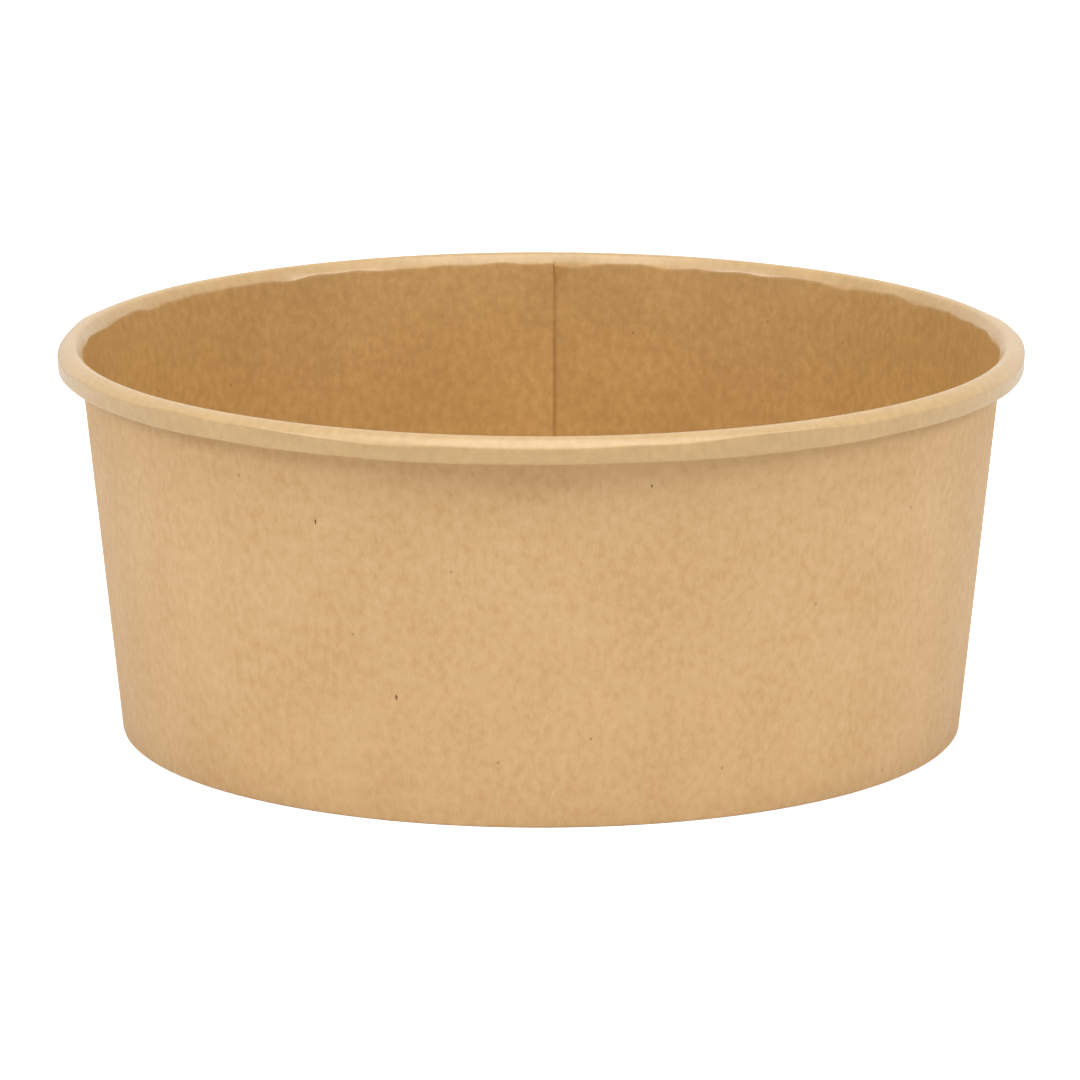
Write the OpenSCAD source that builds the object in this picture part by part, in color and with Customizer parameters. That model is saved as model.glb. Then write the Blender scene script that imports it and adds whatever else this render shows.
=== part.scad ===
// Round kraft board bucket, in millimetres. It stands on the table at z = 0, centred on the Z axis.
// Two board blanks make it: a sidewall with a rolled rim, a lapped seam and a folded foot, and a skirted base.

/* [Size] */
// Outside width across the rolled rim
rim_d = 150; // [140:0.5:180]
// Height from the table to the top of the rim
height = 61; // [40:0.5:100]
// Outside width across the foot, where the wall's line meets the table
base_d = 131; // [115:0.5:138]

/* [Board] */
// Thickness of the sidewall board
board = 0.5; // [0.3:0.05:0.6]
// Thickness of the base board
base_board = 0.45; // [0.3:0.05:0.8]
// Lining film melted between two welded layers
film = 0.02; // [0.01:0.01:0.05]

/* [Rim] */
// Width of the rolled rim's section
curl_d = 4; // [3.6:0.1:6]
// How far round the board is rolled, in degrees
curl_turn = 300; // [260:5:300]
// How much the roll closes in towards its edge
curl_close = 0.5; // [0.2:0.05:0.6]
// Height of the inner shoulder, where the wall bends into the roll, above the roll's middle
shoulder_h = 0.3; // [0:0.05:0.6]
// How flat the sheet is from the inner shoulder to the top crease, from 0 for round to 1 for flat
shoulder_flat = 0.5; // [0:0.1:0.6]
// Height of the roll's flat outer face
face_h = 2.4; // [1.6:0.1:2.6]
// How far that face slopes in towards its lower edge
face_in = 0.1; // [0.05:0.05:0.4]

/* [Foot] */
// Height of the base's underside above the table
base_rise = 7; // [5:0.5:12]
// Distance from the hem's top edge up to the start of the base's bend
hem_gap = 0.2; // [0.1:0.1:1.5]
// Gap between the foot's fold and the lower edge of the base's skirt
skirt_gap = 0.8; // [0.3:0.1:2]
// Radius inside the foot's two folds
fold_r = 0.1; // [0.05:0.01:0.15]
// Radius inside the bend from the base to its skirt
bend_r = 0.7; // [0.4:0.1:1.5]

/* [Seam] */
// Direction in which the inner flap ends, in degrees from +X
seam_at = 88.4; // [0:0.1:359]
// Width of the lap, measured at the rim
lap_w = 8; // [5:0.5:15]
// Width of the ramp beside the lap, where the outer flap comes in to the wall's line
ramp_w = 3; // [2:0.5:6]
// Width of the groove beside the inner flap's cut edge
groove_w = 0.5; // [0.3:0.1:1]
// Depth of that groove
groove_d = 0.3; // [0.1:0.05:0.4]

/* [Hidden] */
$fn = 240;

// The rim's section is a roll round curl_c, and the wall's inner face is a tangent from the foot to that roll.
curl_r = curl_d / 2;
curl_c = [rim_d / 2 - curl_r, height - curl_r];
foot = [base_d / 2, 0];
reach = curl_c - foot;
lean = atan2(reach.x, reach.y) - asin((curl_r - board) / norm(reach));
along = [sin(lean), cos(lean)];
across = [cos(lean), -sin(lean)];

// The hem stands inside the wall, with the base's skirt and two films of lining between them.
nip = base_board + 2 * film;
hem_h = base_rise - bend_r - hem_gap;
fold_z = board + fold_r;

// Widths on the rim as angles
function rim_a(width) = width / (rim_d / 2) * 180 / PI;
lap_a = rim_a(lap_w);
ramp_a = rim_a(ramp_w);
groove_a = rim_a(groove_w);

// The outer flap starts this deep in the inner flap, so that the two are one solid.
weld = board / 5;
// The outer flap's edges are pressed this far short, and each slice of the ramp is as much shorter again.
short = 0.1;
// Share of its width by which a slice of the ramp reaches in under its thicker neighbour
tuck = 0.5;

// Directions from the roll's middle. Up is 90, where the rim has its full height.
top_crease = 118;
crown = 90;
outer_crease = 20;
// The roll's other creases, as points from its middle
shoulder = beside(0, curl_c.y + shoulder_h) - curl_c;
face_top = curl_r * [1, tan(outer_crease)];
face_foot = face_top - [face_in, face_h];
// How flat the roll is between one crease and the next, from the shoulder on, and in how many pieces it is drawn
flats = [shoulder_flat, 0, 0, 1, 0];
pieces = [2, 2, 4, 1, 3];

fold_steps = 4;
bend_steps = 6;
ramp_steps = 5;

// Point at height z on a line that runs with the wall, d outwards from the wall's inner face
function beside(d, z) = foot + (d - board) * across + along * (z + (d - board) * sin(lean)) / cos(lean);

function arc(centre, r, from, to, steps) =
    [for (i = [0:steps]) let (a = from + (to - from) * i / steps) centre + r * [cos(a), sin(a)]];

// The roll's creases, each a direction from its middle and a distance. It closes in below the middle's height.
function polar(p) = [atan2(p.y, p.x), norm(p)];
function roll_r(b) = curl_r - curl_close * max(0, -b) / (curl_turn - 180);
function creases(end) = [
    polar(shoulder),
    [top_crease, curl_r],
    [crown, curl_r],
    polar(face_top),
    polar(face_foot),
    [end, roll_r(end)]];
function spot(b, r) = curl_c + r * [cos(b), sin(b)];
function mixed(a, b, s) = a + (b - a) * s;

// One stretch of the roll in n pieces, between an arc and a straight line
function stretch(from, to, flat, n) = let (
    from_off = from[1] - roll_r(from[0]),
    to_off = to[1] - roll_r(to[0]))
    [for (i = [1:n]) let (
        b = mixed(from[0], to[0], i / n),
        bent = spot(b, roll_r(b) + mixed(from_off, to_off, i / n)),
        straight = mixed(spot(from[0], from[1]), spot(to[0], to[1]), i / n))
        mixed(bent, straight, flat)];

// The sheet's line from the foot's fold up the wall and round some or all stretches of the roll
fold_end = beside(-fold_r, fold_z) + fold_r * across;
function sheet_line(end, stretches) = let (c = creases(end)) concat(
    [fold_end, curl_c + shoulder],
    [for (k = [0:stretches - 1]) each stretch(c[k], c[k + 1], flats[k], pieces[k])]);

// A line of points moved by d to the right of its direction, with its corners kept sharp
function unit(v) = v / norm(v);
function moved(line, d) = [for (i = [0:len(line) - 1]) let (
    j = max(i, 1),
    k = min(i, len(line) - 2),
    way = (unit(line[j] - line[j - 1]) + unit(line[k + 1] - line[k])) / 2)
    line[i] + d * [way.y, -way.x] / (way * way)];

// The foot at depth d, from the hem's edge round both folds. The wall's line starts where they end.
function folds(d, hem_h) = concat(
    [beside(-nip, hem_h) - d * across],
    arc(beside(fold_r - nip, fold_z), fold_r + d, 180 - lean, 270, fold_steps),
    arc(beside(-fold_r, fold_z), fold_r + d, 270, 360 - lean, fold_steps));

function but_first(list) = [for (i = [1:len(list) - 1]) list[i]];
function above(points, floor_z) = [for (p = points) [p.x, max(p.y, floor_z)]];
function backwards(list) = [for (i = [len(list) - 1:-1:0]) list[i]];

// Section of the sheet between two depths from its inner face. A second layer stops short of the first at its edges.
module sheet_section(from_d, to_d, less) {
    end = 180 - curl_turn + less / curl_r * 180 / PI;
    line = sheet_line(end, len(flats));
    inner = concat(folds(from_d, hem_h - less), but_first(moved(line, from_d)));
    outer = concat(folds(to_d, hem_h - less), but_first(moved(line, to_d)));
    polygon(concat(above(inner, less), backwards(above(outer, less))));
}

// The outer flap lies on the wall over the lap and comes down to it over the ramp.
function eased(s) = s * s * (3 - 2 * s);
module outer_flap() {
    rotate_extrude(start = seam_at, angle = lap_a)
        sheet_section(board - weld, 2 * board, short);
    slice_a = ramp_a / ramp_steps;
    for (k = [0:ramp_steps - 1])
        rotate_extrude(start = seam_at - slice_a * (k + 1), angle = slice_a * (1 + tuck))
            sheet_section(board - weld, board + board * eased(1 - (k + 0.5) / ramp_steps), short * (k + 2));
}

// The groove beside the inner flap's cut edge, from the foot up and over the rim to its underside
module groove() {
    line = sheet_line(180 - curl_turn, len(flats) - 1);
    rotate_extrude(start = seam_at - groove_a, angle = groove_a)
        polygon(concat(moved(line, -weld), backwards(moved(line, groove_d))));
}

module sidewall() {
    color("#d2ab78") difference() {
        union() {
            rotate_extrude() sheet_section(0, board, 0);
            outer_flap();
        }
        groove();
    }
}

module base() {
    skirt_c = beside(-film - base_board - bend_r, base_rise - bend_r);
    skirt_foot = beside(-film, board + skirt_gap);
    color("#c19659") rotate_extrude() polygon(concat(
        [[0, base_rise + base_board]],
        arc(skirt_c, bend_r + base_board, 90, -lean, bend_steps),
        [skirt_foot, skirt_foot - base_board * across],
        arc(skirt_c, bend_r, -lean, 90, bend_steps),
        [[0, base_rise]]));
}

sidewall();
base();
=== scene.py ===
import math
import bmesh
import bpy
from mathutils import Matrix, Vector


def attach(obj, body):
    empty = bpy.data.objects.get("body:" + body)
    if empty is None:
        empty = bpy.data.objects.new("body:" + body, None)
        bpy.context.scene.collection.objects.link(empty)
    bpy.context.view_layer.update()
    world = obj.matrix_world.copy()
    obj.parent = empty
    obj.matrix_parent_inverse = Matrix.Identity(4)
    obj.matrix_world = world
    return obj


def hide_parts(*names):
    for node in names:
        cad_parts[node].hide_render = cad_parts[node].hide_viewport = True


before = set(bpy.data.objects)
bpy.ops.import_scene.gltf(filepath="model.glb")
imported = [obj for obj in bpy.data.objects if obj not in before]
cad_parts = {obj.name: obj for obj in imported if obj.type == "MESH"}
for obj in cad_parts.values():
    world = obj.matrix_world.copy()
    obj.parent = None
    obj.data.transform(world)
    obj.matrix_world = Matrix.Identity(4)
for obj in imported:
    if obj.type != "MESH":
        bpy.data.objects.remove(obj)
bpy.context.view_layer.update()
mm = 0.001


# Small helpers

def colour(hexValue):
    # sRGB hex to the linear values that shaders use
    parts = [int(hexValue[i:i + 2], 16) / 255 for i in (1, 3, 5)]
    return [c / 12.92 if c <= 0.04045 else ((c + 0.055) / 1.055) ** 2.4 for c in parts] + [1.0]


def addNode(tree, kind, inputs=None, **settings):
    # One node with its settings. A socket among the inputs is linked, anything else is a value.
    node = tree.nodes.new(kind)
    for name, value in settings.items():
        setattr(node, name, value)
    for name, value in (inputs or {}).items():
        if isinstance(value, bpy.types.NodeSocket):
            tree.links.new(value, node.inputs[name])
        else:
            node.inputs[name].default_value = value
    return node


def lerp(a, b, t):
    return a + (b - a) * t


def smooth(t):
    t = min(max(t, 0.0), 1.0)
    return t * t * (3 - 2 * t)


# Board, shared by both pieces. Lengths are in millimetres until the mesh is made.
board = {
    "thickness": 0.5,
    "baseThickness": 0.45,
    "film": 0.02,          # lining melted between welded layers
    "footWidth": 131.0,
    "rimWidth": 150.0,
    "height": 61.0,
    "rollWidth": 4.0,
    "baseRise": 7.0,
    "bendRadius": 0.7,
    "skirtFoot": 1.3,      # height of the base's lower edge
}
rollR = board["rollWidth"] / 2
rollX = board["rimWidth"] / 2 - rollR
rollZ = board["height"] - rollR
footR = board["footWidth"] / 2
lean = (math.atan2(rollX - footR, rollZ)
        - math.asin((rollR - board["thickness"]) / math.hypot(rollX - footR, rollZ)))


def wallPoint(depth, z):
    # A point at height z on a line that runs with the wall, depth outwards from its inner face
    out = depth - board["thickness"]
    run = (z + out * math.sin(lean)) / math.cos(lean)
    return (footR + out * math.cos(lean) + math.sin(lean) * run,
            -out * math.sin(lean) + math.cos(lean) * run)


# Sidewall: one board sheet, folded in at the foot, rolled out at the rim and lapped at the seam
sidewall = {
    "hemHeight": 6.1,
    "foldRadius": 0.1,
    "seamAt": 88.4,         # degrees from +X, where the inner flap's cut edge stands
    "lapWidth": 8.0,
    "rampWidth": 3.0,
    "lapFade": 1.5,         # beyond the lap, where the sheet's full thickness comes back
    "innerFoot": 0.26,      # under the lap the inner flap's foot stands this high
    "outerFoot": 0.22,      # and the outer flap's foot is this thick
    "rollEnd": -120.0,      # direction of the rolled edge, seen from the roll's middle
    "rollClose": 0.5,       # how far the roll closes in towards its edge
    "shoulder": 0.3,        # height of the inner shoulder's crease over the roll's middle
    "topCrease": 118.0,     # directions from the roll's middle
    "crown": 90.0,
    "outerCrease": 20.0,
    "faceHeight": 2.5,      # the roll's flat outer face
    "faceSlope": 0.1,
    "flats": (0.8, 0.0, 0.5, 1.0, 0.0),  # 0 is round and 1 is flat, from the inner shoulder on
    "rows": (10, 6, 14, 16, 10),
    "creaseLength": 0.2,    # board that each crease bends, on either side of it
    "pressedRoll": 0.06,    # share of the board's thickness that is left where the roll is double
    "pressStart": 2.5,      # below the roll, where the pressing starts
    "pressLength": 3.5,
    "turnStep": 1.2,
    "wallRows": 26,
    # The shoulder's crease steps at the seam by these heights, and eases back over these degrees.
    "stepLeft": (0.15, 3),
    "stepRight": (-0.25, 5),
    "stepRightEnd": 2,      # degrees from the seam at which the right-hand step is full
    # Waves round the rim: size, count and phase. Sizes are millimetres, and degrees for the outer crease.
    "shoulderWaves": ((0.15, 18, 2.4), (0.17, 27, 2.34), (0.08, 25, 2.98), (0.08, 42, 0.59),
                      (0.12, 55, 4.16)),
    "outerWaves": ((8.5, 5, 0.64), (3.0, 11, 1.0), (2.5, 19, 3.3), (1.5, 31, 0.2)),
    "faceFootWaves": ((0.05, 9, 2.2), (0.04, 21, 5.0)),
}


def wave(angle, parts):
    # A periodic wobble round the rim from a few whole-number waves
    return sum(size * math.sin(math.radians(angle) * count + phase) for size, count, phase in parts)


def shoulderHeight(angle):
    # Height of the inner shoulder's crease over the roll's middle. It wanders, and steps at the seam.
    turn = (angle - sidewall["seamAt"]) % 360
    if turn < 180:
        size, degrees = sidewall["stepLeft"]
        step = size * (1 - smooth(turn / degrees))
    else:
        size, degrees = sidewall["stepRight"]
        step = size * smooth((turn - 360 + sidewall["stepRightEnd"] + degrees) / degrees)
    return sidewall["shoulder"] + step + wave(angle, sidewall["shoulderWaves"])


def outerFace(angle):
    # Top and foot of the roll's outer face, from the roll's middle. Both edges wander.
    crease = sidewall["outerCrease"] + wave(angle, sidewall["outerWaves"])
    top = rollR * math.tan(math.radians(crease))
    foot = rollR * math.tan(math.radians(sidewall["outerCrease"])) - sidewall["faceHeight"]
    foot += wave(angle, sidewall["faceFootWaves"])
    return (rollR, top), (rollR - sidewall["faceSlope"], foot)


def polar(point):
    return math.degrees(math.atan2(point[1], point[0])), math.hypot(*point)


def rollRadius(direction):
    return rollR - sidewall["rollClose"] * max(0.0, -direction) / -sidewall["rollEnd"]


def rollPoint(direction, radius):
    a = math.radians(direction)
    return (rollX + radius * math.cos(a), rollZ + radius * math.sin(a))


def between(path, lengths, at):
    # The point at this length along a path
    j = next((j for j in range(1, len(path) - 1) if lengths[j] >= at), len(path) - 1)
    t = (at - lengths[j - 1]) / max(lengths[j] - lengths[j - 1], 1e-9)
    return tuple(lerp(path[j - 1][i], path[j][i], t) for i in (0, 1))


def pathLengths(path):
    lengths = [0.0]
    for p, q in zip(path, path[1:]):
        lengths.append(lengths[-1] + math.dist(p, q))
    return lengths


def rollPath(angle):
    # The sheet leaves the wall at the inner shoulder, bends at each crease and is flatter between them.
    shoulder = wallPoint(0, rollZ + shoulderHeight(angle))
    faceTop, faceFoot = outerFace(angle)
    end = sidewall["rollEnd"]
    direction, radius = polar((shoulder[0] - rollX, shoulder[1] - rollZ))
    stops = [(direction % 360, radius), (sidewall["topCrease"], rollR), (sidewall["crown"], rollR),
             polar(faceTop), polar(faceFoot), (end, rollRadius(end))]
    points = [shoulder]
    creases = [0]
    for k, (fromStop, toStop) in enumerate(zip(stops, stops[1:])):
        a = rollPoint(*fromStop)
        b = rollPoint(*toStop)
        rows = sidewall["rows"][k]
        for j in range(1, rows + 1):
            t = 0.5 - 0.5 * math.cos(math.pi * j / rows)  # closer rows beside a crease
            direction = lerp(fromStop[0], toStop[0], t)
            off = lerp(fromStop[1] - rollRadius(fromStop[0]), toStop[1] - rollRadius(toStop[0]), t)
            bent = rollPoint(direction, rollRadius(direction) + off)
            points.append(tuple(lerp(bent[i], lerp(a[i], b[i], t), sidewall["flats"][k]) for i in (0, 1)))
        creases.append(len(points) - 1)
    # Each crease is a short bend.
    before = wallPoint(0, rollZ + shoulderHeight(angle) - 1)
    path = [before] + points
    lengths = pathLengths(path)
    reach = sidewall["creaseLength"]
    bent = list(path)
    for k in creases[:-1]:
        at = lengths[k + 1]
        ends = between(path, lengths, at - reach), between(path, lengths, at + reach)
        for j, length in enumerate(lengths):
            t = (length - at + reach) / (2 * reach)
            if 0 < t < 1:
                weights = (1 - t) ** 2, 2 * t * (1 - t), t * t
                spots = ends[0], path[k + 1], ends[1]
                bent[j] = tuple(sum(w * spot[i] for w, spot in zip(weights, spots)) for i in (0, 1))
    return bent[1:]


def footPath():
    # From the hem's top edge down, round both folds and on to the wall
    nip = board["baseThickness"] + 2 * board["film"]
    r = sidewall["foldRadius"]
    foldZ = board["thickness"] + r
    tilt = math.degrees(lean)
    points = [wallPoint(-nip, lerp(sidewall["hemHeight"], foldZ, j / 4)) for j in range(4)]
    folds = ((wallPoint(r - nip, foldZ), 180 - tilt, 270), (wallPoint(-r, foldZ), 270, 360 - tilt))
    for centre, fromA, toA in folds:
        for j in range(4):
            a = math.radians(lerp(fromA, toA, j / 3))
            points.append((centre[0] + r * math.cos(a), centre[1] + r * math.sin(a)))
    return points


def sheetPath(angle):
    # Line of the sheet's lined face at one direction, from the hem's edge to the rolled edge,
    # and the number of its row where the roll starts
    foot = footPath()
    roll = rollPath(angle)
    last = foot[-1]
    rows = sidewall["wallRows"]
    wall = []
    for j in range(1, rows):
        t = 1 - (1 - j / rows) ** 1.5   # closer rows below the roll
        wall.append(tuple(lerp(last[i], roll[0][i], t) for i in (0, 1)))
    return foot + wall + roll, len(foot) + len(wall)


def offset(path, distances):
    # The path moved to its outer side, which is on the right of the direction of travel
    moved = []
    for j, (x, z) in enumerate(path):
        before = path[max(j - 1, 0)]
        after = path[min(j + 1, len(path) - 1)]
        dirs = []
        for p, q in ((before, (x, z)), ((x, z), after)):
            length = math.hypot(q[0] - p[0], q[1] - p[1])
            if length > 1e-9:
                dirs.append(((q[0] - p[0]) / length, (q[1] - p[1]) / length))
        tx = sum(d[0] for d in dirs) / len(dirs)
        tz = sum(d[1] for d in dirs) / len(dirs)
        size = max(tx * tx + tz * tz, 0.5)
        moved.append((x + distances[j] * tz / size, z - distances[j] * tx / size))
    return moved


def makeSidewall():
    rim = board["rimWidth"] / 2
    lap = math.degrees(sidewall["lapWidth"] / rim)
    ramp = math.degrees(sidewall["rampWidth"] / rim)
    fade = math.degrees(sidewall["lapFade"] / rim)
    thick = board["thickness"]
    pressStart = sidewall["pressStart"]
    pressLength = sidewall["pressLength"]

    # Turn from the inner flap's cut edge, once round and over the lap to the outer flap's cut edge
    lapTurns = [lap * k / 8 for k in range(9)]
    mainSteps = int((360 - ramp - fade - lap) / sidewall["turnStep"])
    turns = lapTurns + [lap + fade * k / 4 for k in range(1, 5)]
    turns += [lerp(lap + fade, 360 - ramp, k / mainSteps) for k in range(1, mainSteps + 1)]
    turns += [360 - ramp + ramp * k / 14 for k in range(1, 15)]
    turns += [360 + t for t in lapTurns[1:]]

    corners = []
    texture = []
    for turn in turns:
        angle = sidewall["seamAt"] + turn
        path, rollRow = sheetPath(angle)
        count = len(path)
        lengths = pathLengths(path)
        # Share of the full thickness that stays where the sheet lies double
        pressed = [smooth((run - lengths[rollRow] + pressStart) / pressLength) for run in lengths]
        double = [lerp(1, sidewall["pressedRoll"], share) for share in pressed]
        # The sheet's start lies inside the lap and its end outside.
        inner = turn < 180
        onLap = 1 - smooth((turn - lap) / fade) if inner else smooth((turn - 360 + ramp) / ramp)
        lift = 0 if inner else thick * onLap
        lifts = [lift * double[j] + (0.01 if turn > 360 else 0) for j in range(count)]
        body = [thick * lerp(1, double[j], onLap) for j in range(count)]
        lined = offset(path, lifts)
        outer = offset(path, [lifts[j] + body[j] for j in range(count)])
        floorLined = thick if inner else lerp(thick, sidewall["outerFoot"], onLap)
        floorOuter = sidewall["innerFoot"] * onLap if inner else 0
        lined = [(x, max(z, floorLined)) for x, z in lined]
        outer = [(x, max(z, floorOuter)) for x, z in outer]
        a = math.radians(angle)
        corners.append([[(x * math.cos(a), x * math.sin(a), z) for x, z in face] for face in (lined, outer)])
        texture.append([(math.radians(turn) * rim, v) for v in lengths])

    n = len(corners[0][0])

    def at(i, side, j):
        return (i * 2 + side) * n + j

    faces = []
    slots = []
    coords = []

    # A cut edge's far side lies one thickness along or up in the texture.
    def addFace(spots, slot, shift=(0, 0)):
        faces.append([at(*s) for s in spots])
        slots.append(slot)
        coords.extend([(texture[i][j][0] + shift[0] * side, texture[i][j][1] + shift[1] * side)
                       for i, side, j in spots])

    last = len(turns) - 1
    for i in range(last):
        for j in range(n - 1):
            addFace(((i, 0, j), (i, 0, j + 1), (i + 1, 0, j + 1), (i + 1, 0, j)), 0)
            addFace(((i, 1, j), (i + 1, 1, j), (i + 1, 1, j + 1), (i, 1, j + 1)), 1)
        addFace(((i, 0, 0), (i + 1, 0, 0), (i + 1, 1, 0), (i, 1, 0)), 2, (0, thick))
        addFace(((i, 0, n - 1), (i, 1, n - 1), (i + 1, 1, n - 1), (i + 1, 0, n - 1)), 2, (0, thick))
    for j in range(n - 1):
        addFace(((0, 0, j), (0, 1, j), (0, 1, j + 1), (0, 0, j + 1)), 2, (thick, 0))
        addFace(((last, 0, j), (last, 0, j + 1), (last, 1, j + 1), (last, 1, j)), 2, (thick, 0))

    mesh = bpy.data.meshes.new("sidewall_sheet")
    points = [[c * mm for c in p] for ring in corners for face in ring for p in face]
    mesh.from_pydata(points, [], faces)
    mesh.polygons.foreach_set("material_index", slots)
    layer = mesh.uv_layers.new(name="board")
    layer.data.foreach_set("uv", [c * mm for uv in coords for c in uv])
    mesh.polygons.foreach_set("use_smooth", [True] * len(faces))
    mesh.set_sharp_from_angle(angle=math.radians(35))
    mesh.validate()
    piece = bpy.data.objects.new("sidewall_sheet", mesh)
    bpy.context.collection.objects.link(piece)
    return piece


# Base: a round board, its edge bent down into a skirt. The skirt's line is swept round by Geometry Nodes.
base = {
    "Skirt Radius": wallPoint(-board["film"], board["skirtFoot"])[0] * mm,
    "Skirt Foot": board["skirtFoot"] * mm,
    "Top Height": (board["baseRise"] + board["baseThickness"]) * mm,
    "Spread": (wallPoint(-board["film"], board["baseRise"] + board["baseThickness"])[0]
               - wallPoint(-board["film"], board["skirtFoot"])[0]) * mm,
    "Bend Radius": (board["bendRadius"] + board["baseThickness"]) * mm,
}


def sweepTree():
    tree = bpy.data.node_groups.new("sweep_base", "GeometryNodeTree")
    for name in base:
        tree.interface.new_socket(name=name, in_out="INPUT", socket_type="NodeSocketFloat")
    tree.interface.new_socket(name="Board", in_out="INPUT", socket_type="NodeSocketMaterial")
    tree.interface.new_socket(name="Geometry", in_out="OUTPUT", socket_type="NodeSocketGeometry")
    given = addNode(tree, "NodeGroupInput").outputs
    inward = addNode(tree, "ShaderNodeMath", {0: 0.0, 1: given["Skirt Radius"]},
                     operation="SUBTRACT").outputs[0]
    half = addNode(tree, "ShaderNodeMath", {0: inward, 1: 0.5}, operation="MULTIPLY").outputs[0]
    # The ring sweeps its profile with Y pointing down.
    top, foot = (addNode(tree, "ShaderNodeMath", {0: given[name], 1: -1.0}, operation="MULTIPLY").outputs[0]
                 for name in ("Top Height", "Skirt Foot"))
    spots = {
        "Point 1": (inward, top),
        "Point 2": (half, top),
        "Point 3": (given["Spread"], top),
        "Point 4": (0.0, foot),
    }
    points = {name: addNode(tree, "ShaderNodeCombineXYZ", {"X": x, "Y": y}).outputs[0]
              for name, (x, y) in spots.items()}
    line = addNode(tree, "GeometryNodeCurvePrimitiveQuadrilateral", points, mode="POINTS")
    opened = addNode(tree, "GeometryNodeSetSplineCyclic", {"Geometry": line.outputs[0], "Cyclic": False})
    bent = addNode(tree, "GeometryNodeFilletCurve",
                   {"Curve": opened.outputs[0], "Count": 8, "Radius": given["Bend Radius"]}, mode="POLY")
    ring = addNode(tree, "GeometryNodeCurvePrimitiveCircle",
                   {"Resolution": 256, "Radius": given["Skirt Radius"]})
    swept = addNode(tree, "GeometryNodeCurveToMesh",
                    {"Curve": ring.outputs[0], "Profile Curve": bent.outputs[0]})
    closed = addNode(tree, "GeometryNodeMergeByDistance", {"Geometry": swept.outputs[0], "Distance": 1e-6})
    real = addNode(tree, "GeometryNodeRealizeInstances", {"Geometry": closed.outputs[0]})
    finished = addNode(tree, "GeometryNodeSetMaterial",
                       {"Geometry": real.outputs[0], "Material": given["Board"]})
    addNode(tree, "NodeGroupOutput", {"Geometry": finished.outputs[0]})
    return tree


def makeBase(linedKraft, bareKraft, rawEdge):
    holder = bpy.data.objects.new("base_holder", bpy.data.meshes.new("base_holder"))
    bpy.context.collection.objects.link(holder)
    tree = sweepTree()
    modifier = holder.modifiers.new("sweep", "NODES")
    modifier.node_group = tree
    for item in tree.interface.items_tree:
        if item.in_out == "INPUT":
            modifier[item.identifier] = linedKraft if item.name == "Board" else base[item.name]
    bpy.context.view_layer.update()
    swept = bpy.data.meshes.new_from_object(holder.evaluated_get(bpy.context.evaluated_depsgraph_get()))
    bpy.data.objects.remove(holder)

    shape = bmesh.new()
    shape.from_mesh(swept)
    bmesh.ops.remove_doubles(shape, verts=shape.verts, dist=1e-6)
    bmesh.ops.recalc_face_normals(shape, faces=shape.faces)
    if min(shape.faces, key=lambda f: f.calc_center_median().xy.length).normal.z < 0:
        bmesh.ops.reverse_faces(shape, faces=shape.faces)
    shape.to_mesh(swept)
    shape.free()
    swept.materials.clear()
    for material in (linedKraft, bareKraft, rawEdge):
        swept.materials.append(material)
    piece = bpy.data.objects.new("base_board", swept)
    bpy.context.collection.objects.link(piece)
    solid = piece.modifiers.new("board", "SOLIDIFY")
    solid.thickness = board["baseThickness"] * mm
    solid.offset = -1
    solid.material_offset = 1
    solid.material_offset_rim = 2
    bpy.context.view_layer.update()
    final = bpy.data.meshes.new_from_object(piece.evaluated_get(bpy.context.evaluated_depsgraph_get()))
    piece.modifiers.clear()
    piece.data = final
    final.name = "base_board"
    layer = final.uv_layers.new(name="board")
    layer.data.foreach_set("uv", [c for l in final.loops for c in final.vertices[l.vertex_index].co.xy])
    final.polygons.foreach_set("use_smooth", [True] * len(final.polygons))
    final.set_sharp_from_angle(angle=math.radians(35))
    return piece


# Kraft board. Unbleached wood fibres run up the wall: it is brown, cloudy and faintly streaked,
# with a few bark flecks.
kraft = {
    "light": "#d2ae7e",
    "middle": "#cba674",
    "dark": "#c49c68",
    # Tones from dark to light of the lined face and of the cut edge
    "lined": ("#b48b50", "#be9559", "#c89f63"),
    "cutEdge": ("#cba673", "#dab88a", "#e6cba2"),
    "bark": "#6f4a26",
    "film": "#c2a97c",       # painted sheen: a paler tone over the roll that stands in for the satin highlight it catches
    "paintedSheenShare": 0.36,
    "cloudSize": 14.0,       # mm, uneven pulp
    "mottleWidth": 1.5,      # mm
    "mottleLength": 1.9,
    "fibreWidth": 0.3,       # mm, drawn coarser than the 0.03 mm fibre so that it shows
    "fibreLength": 1.4,
    "mottleShare": 0.62,     # against the clouds
    "fibreShare": 0.22,
    "toneSpots": (0.38, 0.51, 0.64),  # noise values of the dark, middle and light tones
    "fleckSpacing": 21.0,    # mm between small flecks
    "fleckReach": (0.004, 0.016),     # of the spacing, from a fleck's middle to its rim
    "fleckDepth": 0.55,
    "fleckless": 0.55,       # share of the cells without a fleck
    # Bark flecks that stand out: direction, height, width and length
    "flecks": ((251.5, 19.7, 0.45, 1.0), (241.7, 45.8, 0.35, 0.8), (283.2, 52.8, 0.3, 0.55)),
}


def pattern(tree, uv, width, length, detail, seed):
    # Noise with features of this width and length in millimetres, lengthwise up the sheet
    scaled = addNode(tree, "ShaderNodeMapping", {"Vector": uv, "Location": (seed, seed * 0.7, 0),
                                                 "Scale": (1 / (width * mm), 1 / (length * mm), 1)})
    return addNode(tree, "ShaderNodeTexNoise", {"Vector": scaled.outputs[0], "Scale": 1.0, "Detail": detail,
                                                "Roughness": 0.55}).outputs[0]


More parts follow.
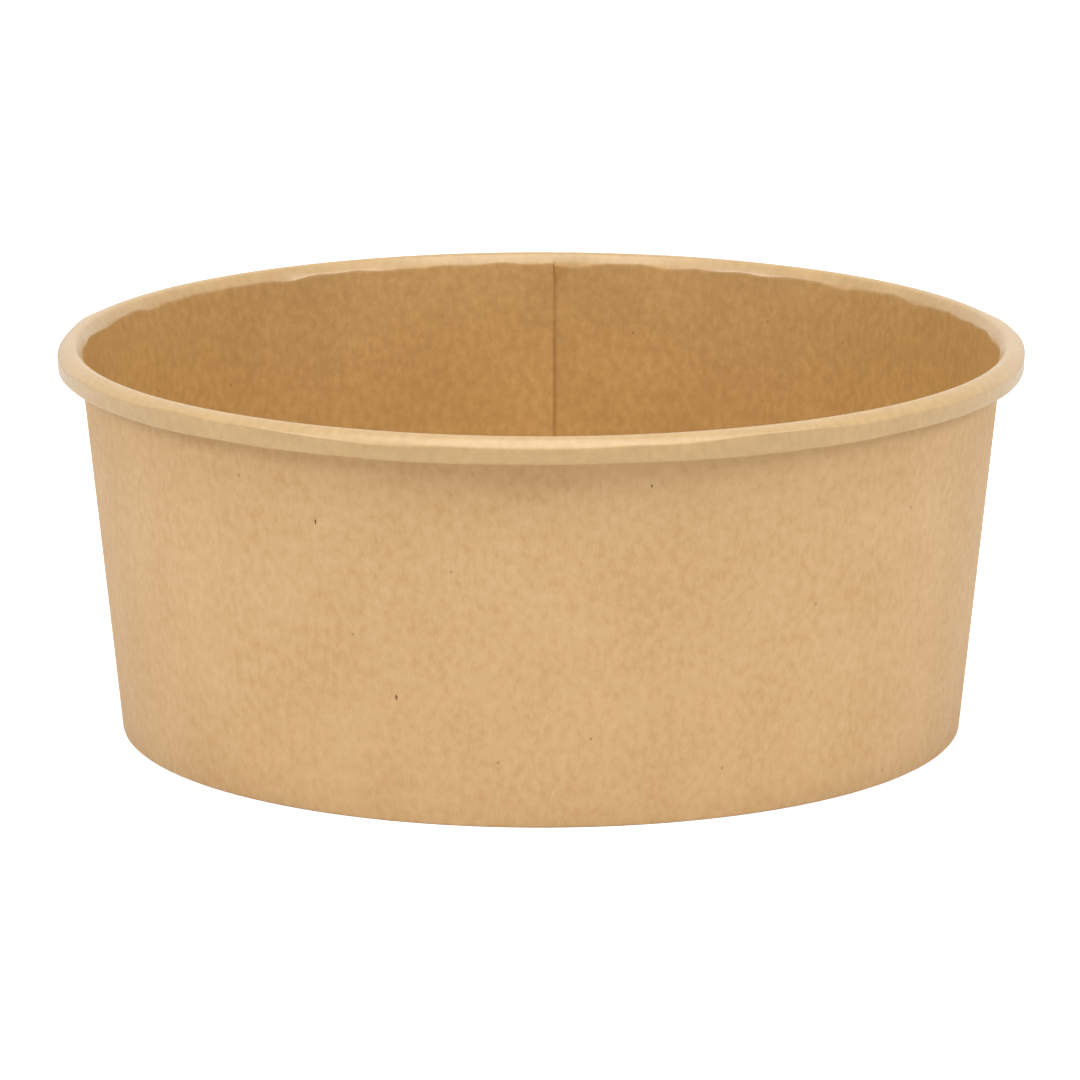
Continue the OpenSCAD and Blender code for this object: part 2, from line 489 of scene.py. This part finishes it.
def fleckAt(tree, uv, angle, height, width, length):
    # 1 in the middle of one bark fleck and 0 outside it
    turn = math.radians((angle - sidewall["seamAt"]) % 360) * board["rimWidth"] / 2
    path = footPath()
    run = pathLengths(path)[-1] + (height - path[-1][1]) / math.cos(lean)
    at = addNode(tree, "ShaderNodeVectorMath", {0: uv, 1: (turn * mm, run * mm, 0)}, operation="SUBTRACT")
    sized = addNode(tree, "ShaderNodeVectorMath",
                    {0: at.outputs[0], 1: (2 / (width * mm), 2 / (length * mm), 0)}, operation="MULTIPLY")
    rough = pattern(tree, uv, 0.5, 0.5, 1, height)
    far = addNode(tree, "ShaderNodeVectorMath", {0: sized.outputs[0]}, operation="LENGTH")
    edge = addNode(tree, "ShaderNodeMath", {0: far.outputs["Value"], 1: rough}, operation="ADD")
    faded = addNode(tree, "ShaderNodeMapRange",
                    {"Value": edge.outputs[0], "From Min": 1.0, "From Max": 1.8,
                     "To Min": 1.0, "To Max": 0.0},
                    interpolation_type="SMOOTHSTEP")
    return faded.outputs[0]


def rollStart():
    # Length along the sheet, from the hem's edge, at which the wall ends and the roll starts
    path, rollRow = sheetPath(0)
    return pathLengths(path)[rollRow]


def kraftMaterial(name, tones, flecks=(), fibre=1.0, paintedSheen=0.0, **shine):
    material = bpy.data.materials.new(name)
    material.use_nodes = True
    tree = material.node_tree
    shader = tree.nodes["Principled BSDF"]
    uv = addNode(tree, "ShaderNodeUVMap", uv_map="board").outputs[0]

    clouds = pattern(tree, uv, kraft["cloudSize"], kraft["cloudSize"] * 1.3, 3, 3.1)
    mottle = pattern(tree, uv, kraft["mottleWidth"], kraft["mottleLength"], 3, 7.7)
    fibres = pattern(tree, uv, kraft["fibreWidth"], kraft["fibreLength"], 2, 1.3)
    mixed = addNode(tree, "ShaderNodeMix", {"Factor": kraft["mottleShare"], 2: clouds, 3: mottle})
    blend = addNode(tree, "ShaderNodeMix",
                    {"Factor": kraft["fibreShare"] * fibre, 2: mixed.outputs[0], 3: fibres})
    tone = addNode(tree, "ShaderNodeValToRGB", {"Fac": blend.outputs[0]})
    ramp = tone.color_ramp
    darkSpot, middleSpot, lightSpot = kraft["toneSpots"]
    ramp.elements[0].position = darkSpot
    ramp.elements[1].position = lightSpot
    ramp.elements[0].color = colour(tones[0])
    ramp.elements[1].color = colour(tones[2])
    ramp.elements.new(middleSpot).color = colour(tones[1])

    # Small flecks: one cell in a few holds a dark speck
    spacing = kraft["fleckSpacing"] * mm
    cells = addNode(tree, "ShaderNodeMapping", {"Vector": uv, "Scale": [1 / spacing] * 3})
    speck = addNode(tree, "ShaderNodeTexVoronoi",
                    {"Vector": cells.outputs[0], "Scale": 1.0, "Randomness": 1.0}, voronoi_dimensions="2D")
    middle, rim = kraft["fleckReach"]
    near = addNode(tree, "ShaderNodeMapRange",
                   {"Value": speck.outputs["Distance"], "From Min": middle, "From Max": rim,
                    "To Min": kraft["fleckDepth"], "To Max": 0.0})
    chance = addNode(tree, "ShaderNodeSeparateColor", {0: speck.outputs["Color"]})
    chosen = addNode(tree, "ShaderNodeMath", {0: chance.outputs[0], 1: kraft["fleckless"]},
                     operation="GREATER_THAN")
    small = addNode(tree, "ShaderNodeMath", {0: near.outputs[0], 1: chosen.outputs[0]}, operation="MULTIPLY")
    dark = small.outputs[0]
    for fleck in flecks:
        spot = fleckAt(tree, uv, *fleck)
        dark = addNode(tree, "ShaderNodeMath", {0: dark, 1: spot}, operation="MAXIMUM").outputs[0]
    painted = addNode(tree, "ShaderNodeMix", {"Factor": dark, 6: tone.outputs[0], 7: colour(kraft["bark"])},
                      data_type="RGBA")
    if paintedSheen:
        # Painted sheen: a paler, less saturated tone is mixed in over the roll, standing in for the satin
        # highlight that the roll catches from above.
        along = addNode(tree, "ShaderNodeSeparateXYZ", {0: uv}).outputs["Y"]
        paintedSheenMask = addNode(tree, "ShaderNodeMapRange", {"Value": along, "From Min": (rollStart() - 0.3) * mm,
                                                     "From Max": (rollStart() + 0.3) * mm, "To Max": paintedSheen})
        painted = addNode(tree, "ShaderNodeMix", {"Factor": paintedSheenMask.outputs[0], 6: painted.outputs[2],
                                                  7: colour(kraft["film"])}, data_type="RGBA")
    tree.links.new(painted.outputs[2], shader.inputs["Base Color"])

    pits = pattern(tree, uv, 0.5, 0.6, 2, 9.4)
    grain = addNode(tree, "ShaderNodeMix", {"Factor": 0.5, 2: fibres, 3: pits})
    bump = addNode(tree, "ShaderNodeBump", {"Strength": 0.25 * fibre, "Distance": 0.06 * mm,
                                            "Height": grain.outputs[0]})
    tree.links.new(bump.outputs[0], shader.inputs["Normal"])
    shader.inputs["IOR"].default_value = 1.5
    for socket, value in shine.items():
        shader.inputs[socket.replace("_", " ")].default_value = value
    return material


def kraftMaterials():
    tones = (kraft["dark"], kraft["middle"], kraft["light"])
    # Bare machine-made kraft: open fibres, so it is matt and pale, and paler still at a grazing angle.
    bare = kraftMaterial("kraft_bare", tones, kraft["flecks"], Roughness=0.8, Specular_IOR_Level=0.4,
                         Sheen_Weight=0.15, Sheen_Roughness=0.5)
    # Lined kraft: a thin extruded film wets the fibres, which look deeper and have a satin shine. Over the
    # roll a paler tone is mixed in as painted sheen.
    lined = kraftMaterial("kraft_lined", kraft["lined"], fibre=0.6, paintedSheen=kraft["paintedSheenShare"],
                          Roughness=0.38, Coat_Weight=0.5, Coat_Roughness=0.25)
    # Cut edge: torn fibre ends, paler than the faces
    raw = kraftMaterial("kraft_cut_edge", kraft["cutEdge"], Roughness=0.9, Specular_IOR_Level=0.2)
    return lined, bare, raw


linedKraft, bareKraft, rawEdge = kraftMaterials()

sheetPiece = makeSidewall()
for material in (linedKraft, bareKraft, rawEdge):
    sheetPiece.data.materials.append(material)
print("sidewall sheet:", len(sheetPiece.data.polygons), "faces")

basePiece = makeBase(linedKraft, bareKraft, rawEdge)
print("base board:", len(basePiece.data.polygons), "faces")

for piece, node, slot in ((sheetPiece, "sidewall", "sidewall_kraft"), (basePiece, "base", "base_kraft")):
    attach(piece, "root")
    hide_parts(node)


# Studio: white floor and world, with large soft lamps
studio = {
    "floorSize": 8.0,
    "floor": "#f4f4f4",
    "floorGlow": 0.62,       # seen by the camera only, so the floor is white and keeps its shadow
    "worldStrength": 0.35,
    "lamps": (
        # name, place, aimed at, width, power
        ("overhead", (0.0, -0.3, 1.2), (0.0, 0.0, 0.03), 1.2, 10.8),
        ("left", (-1.4, -0.75, 1.1), (0.0, 0.0, 0.03), 0.8, 12.0),
        ("right", (1.4, -0.75, 1.1), (0.0, 0.0, 0.03), 0.8, 12.0),
    ),
}


def aim(thing, place, target):
    thing.location = place
    thing.rotation_euler = (Vector(target) - Vector(place)).to_track_quat("-Z", "Y").to_euler()


def makeStudio():
    world = bpy.data.worlds.new("studio")
    bpy.context.scene.world = world
    world.use_nodes = True
    tree = world.node_tree
    tree.nodes.clear()
    rays = addNode(tree, "ShaderNodeLightPath")
    seen = addNode(tree, "ShaderNodeMath",
                   {0: rays.outputs["Is Camera Ray"], 1: rays.outputs["Is Glossy Ray"]}, operation="MAXIMUM")
    seenThrough = addNode(tree, "ShaderNodeMath",
                          {0: seen.outputs[0], 1: rays.outputs["Is Transmission Ray"]}, operation="MAXIMUM")
    strength = addNode(tree, "ShaderNodeMapRange", {"Value": seenThrough.outputs[0],
                                                    "To Min": studio["worldStrength"], "To Max": 1.0})
    background = addNode(tree, "ShaderNodeBackground",
                         {"Color": (1, 1, 1, 1), "Strength": strength.outputs[0]})
    addNode(tree, "ShaderNodeOutputWorld", {"Surface": background.outputs[0]})

    half = studio["floorSize"] / 2
    mesh = bpy.data.meshes.new("floor")
    sheet = [(-half, -half, 0), (half, -half, 0), (half, half, 0), (-half, half, 0)]
    mesh.from_pydata(sheet, [], [(0, 1, 2, 3)])
    floor = bpy.data.objects.new("floor", mesh)
    bpy.context.collection.objects.link(floor)
    paint = bpy.data.materials.new("floor_paper")
    paint.use_nodes = True
    tree = paint.node_tree
    tree.nodes.clear()
    rays = addNode(tree, "ShaderNodeLightPath")
    matt = addNode(tree, "ShaderNodeBsdfDiffuse", {"Color": colour(studio["floor"])})
    glow = addNode(tree, "ShaderNodeEmission", {"Color": (1, 1, 1, 1), "Strength": studio["floorGlow"]})
    both = addNode(tree, "ShaderNodeAddShader", {0: matt.outputs[0], 1: glow.outputs[0]})
    picked = addNode(tree, "ShaderNodeMixShader", {0: rays.outputs["Is Camera Ray"], 1: matt.outputs[0],
                                                   2: both.outputs[0]})
    addNode(tree, "ShaderNodeOutputMaterial", {"Surface": picked.outputs[0]})
    mesh.materials.append(paint)

    for name, place, target, width, power in studio["lamps"]:
        lamp = bpy.data.lights.new(name, "AREA")
        lamp.shape = "DISK"
        lamp.size = width
        lamp.energy = power
        thing = bpy.data.objects.new(name, lamp)
        aim(thing, place, target)
        bpy.context.collection.objects.link(thing)


# Camera: the widths and heights of the rim's and the foot's ellipses in the photo give its height and
# distance.
camera = {
    "place": (0.0, -1.1011, 0.2806),
    "target": (0.0, 0.0, 0.0289),
    "lens": 241.0,
    "shiftX": -0.001,
}


def makeCamera():
    data = bpy.data.cameras.new("camera")
    data.lens = camera["lens"]
    data.sensor_width = 36
    data.shift_x = camera["shiftX"]
    thing = bpy.data.objects.new("camera", data)
    aim(thing, camera["place"], camera["target"])
    bpy.context.collection.objects.link(thing)
    bpy.context.scene.camera = thing


makeStudio()
makeCamera()
bpy.context.scene.view_settings.view_transform = "Standard"
print("studio and camera are set")
